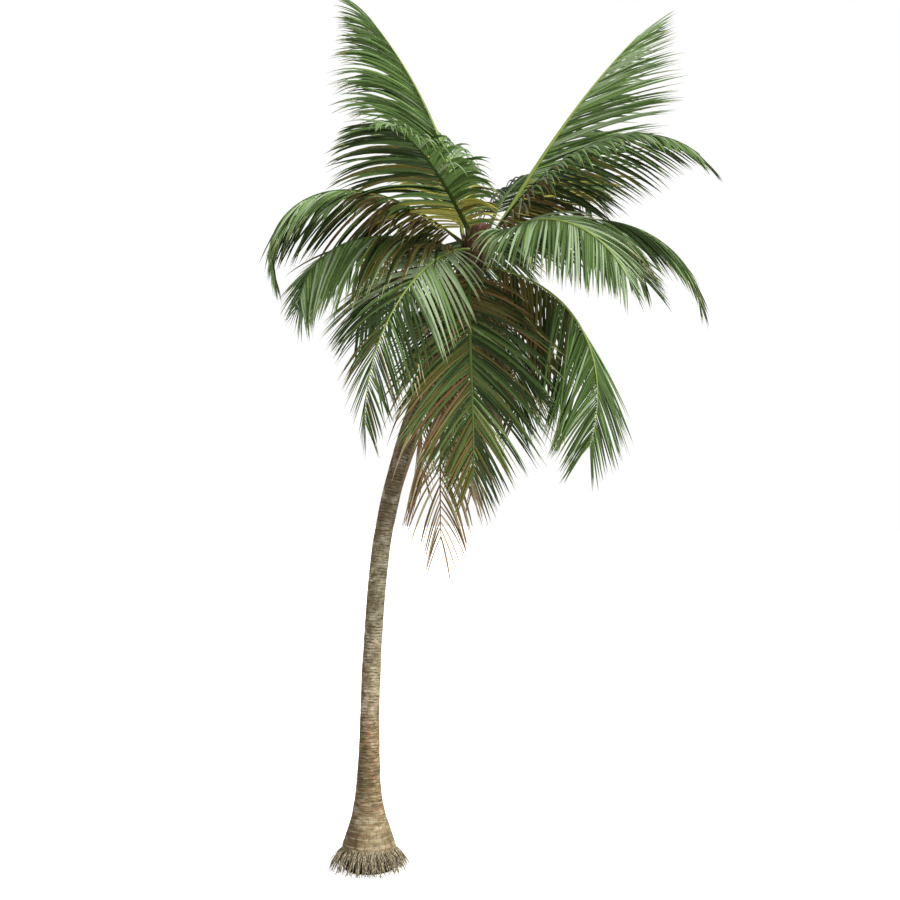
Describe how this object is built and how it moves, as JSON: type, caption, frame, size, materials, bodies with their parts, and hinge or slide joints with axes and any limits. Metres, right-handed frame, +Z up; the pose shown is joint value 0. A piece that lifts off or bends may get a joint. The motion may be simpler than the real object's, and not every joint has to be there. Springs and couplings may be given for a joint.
{
  "type": "coconut palm tree",
  "caption": "Tall leaning coconut palm with a ringed trunk, a flared bole on a skirt of prop roots, and a full crown of arching feathered fronds with a few dry ones hanging below.",
  "frame": {"origin": "middle of the flat cut under the trunk, at ground level", "axes": "+Z up; the trunk leans towards +X; the side that the picture shows faces -Y"},
  "size_m": [6.0329, 6.3936, 12.1957],
  "materials": {
    "bark": "grey-brown palm bark with leaf-scar rings",
    "root_bark": "dry root bark",
    "palm_fibre": "coarse brown leaf-base fibre",
    "green_frond": "waxy green leaflets on a yellow-green rib",
    "dry_frond": "dry brown leaflets"
  },
  "bodies": {
    "root": {"trunk": "bark", "root_skirt": "root_bark", "bud_fibre": "palm_fibre", "old_leaf_bases": "palm_fibre", "frond_rising_near": "green_frond", "frond_rising_left": "green_frond", "frond_rising_back_base": "green_frond", "frond_rising_back_tip": "green_frond", "frond_rising_right": "green_frond", "frond_rising_far_base": "green_frond", "frond_rising_far_tip": "green_frond", "frond_arching_right_base": "green_frond", "frond_arching_right_tip": "green_frond", "frond_level_right_base": "green_frond", "frond_level_right_tip": "green_frond", "frond_leaning_right_base": "green_frond", "frond_leaning_right_tip": "green_frond", "frond_drooping_right_base": "green_frond", "frond_drooping_right_tip": "green_frond", "frond_drooping_left_base": "green_frond", "frond_drooping_left_tip": "green_frond", "frond_arching_left_base": "green_frond", "frond_arching_left_tip": "green_frond", "frond_level_left_base": "green_frond", "frond_level_left_tip": "green_frond", "frond_hanging_front": "green_frond", "frond_arching_back_base": "green_frond", "frond_arching_back_tip": "green_frond", "frond_arching_back_left_base": "green_frond", "frond_arching_back_left_tip": "green_frond", "frond_arching_back_right_base": "green_frond", "frond_arching_back_right_tip": "green_frond", "frond_drooping_back_base": "green_frond", "frond_drooping_back_tip": "green_frond", "frond_drooping_back_right_base": "green_frond", "frond_drooping_back_right_tip": "green_frond", "frond_drooping_back_left": "green_frond", "frond_dry_left": "dry_frond", "frond_dry_front": "dry_frond", "frond_dry_back": "dry_frond"}
  },
  "joints": []
}
